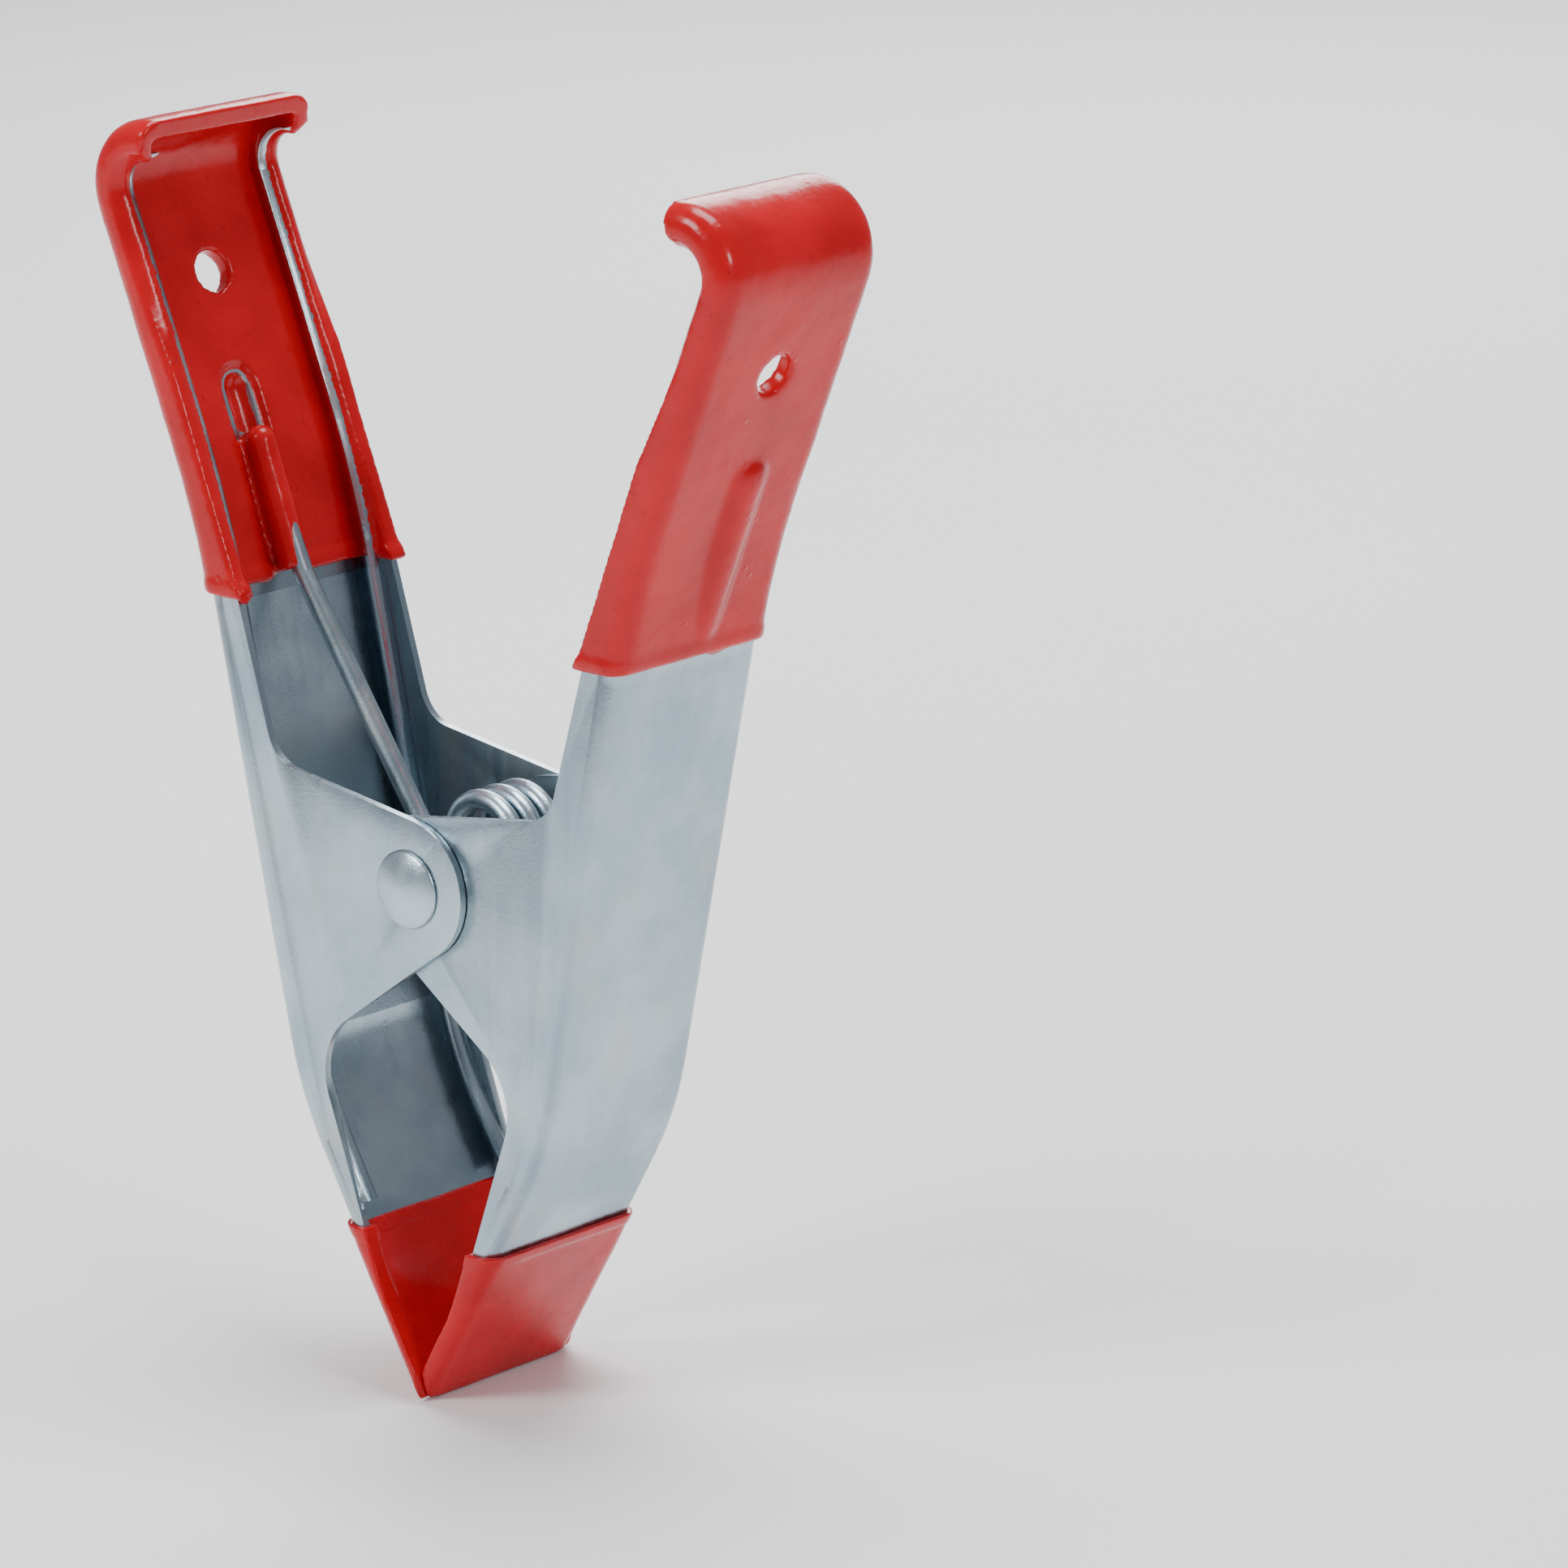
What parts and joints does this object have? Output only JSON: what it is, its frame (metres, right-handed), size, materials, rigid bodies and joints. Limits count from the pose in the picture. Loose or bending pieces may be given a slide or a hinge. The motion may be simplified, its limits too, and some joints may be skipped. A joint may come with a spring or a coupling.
{
  "type": "spring clamp",
  "caption": "Hand spring clamp of two stamped steel channel halves on a rivet, with a torsion spring, red vinyl grips and vinyl-coated jaw tips.",
  "frame": {"origin": "middle of the lower edge of the closed jaw tips", "axes": "+Z from the tips to the handles, X the opening direction with the inner half on +X, Y along the rivet"},
  "size_m": [0.1046, 0.0314, 0.1552],
  "materials": {
    "zinc_steel": "satin blue-white zinc plate",
    "rivet_steel": "satin zinc plate",
    "spring_wire": "drawn wire, zinc plate",
    "grip_vinyl": "glossy dipped vinyl",
    "tip_vinyl": "glossy dipped vinyl"
  },
  "bodies": {
    "outer_half": {"outer_jaw": "zinc_steel", "outer_grip": "grip_vinyl", "outer_tip": "tip_vinyl", "rivet": "rivet_steel", "torsion_spring": "spring_wire"},
    "inner_half": {"inner_jaw": "zinc_steel", "inner_grip": "grip_vinyl", "inner_tip": "tip_vinyl"}
  },
  "joints": [
    {"name": "jaw_hinge", "type": "hinge", "parent": "outer_half", "child": "inner_half", "pos_m": [0, 0, 0.0658], "axis": [0, -1, 0], "range_deg": [0, 50], "stiffness_Nm_per_rad": 2.6, "springref_deg": -22.92, "deforming": ["torsion_spring"]}
  ]
}
